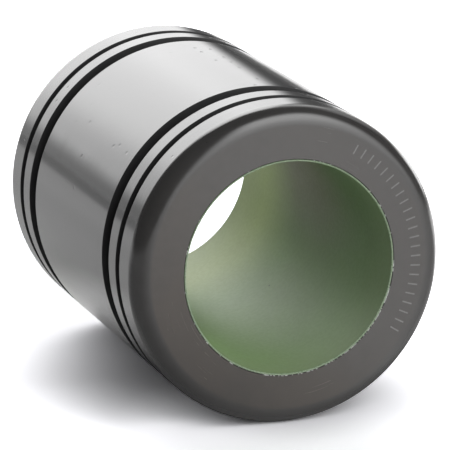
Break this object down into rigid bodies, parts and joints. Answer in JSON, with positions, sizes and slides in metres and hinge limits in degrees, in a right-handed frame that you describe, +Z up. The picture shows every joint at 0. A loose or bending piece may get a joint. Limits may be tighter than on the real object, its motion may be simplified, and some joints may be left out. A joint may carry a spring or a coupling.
{
  "type": "linear bushing",
  "caption": "Plain linear bushing: a grooved, round-ended aluminium shell with a thin self-lubricating plastic liner bonded in its bore, to slide along a shaft.",
  "frame": {"origin": "middle of the bushing: halfway along its length, on the bore's axis", "axes": "Y along the bore's axis, +Z up as it lies on its side; the two ends are the same"},
  "size_m": [0.0762, 0.1016, 0.0762],
  "materials": {
    "anodised_shell": "dark grey hard anodised, smooth ground outside, satin end faces",
    "adhesive_film": "off-white cured adhesive",
    "bearing_liner": "pale green self-lubricating plastic, satin"
  },
  "bodies": {
    "root": {"shell": "anodised_shell", "bond_film": "adhesive_film", "liner": "bearing_liner"}
  },
  "joints": []
}
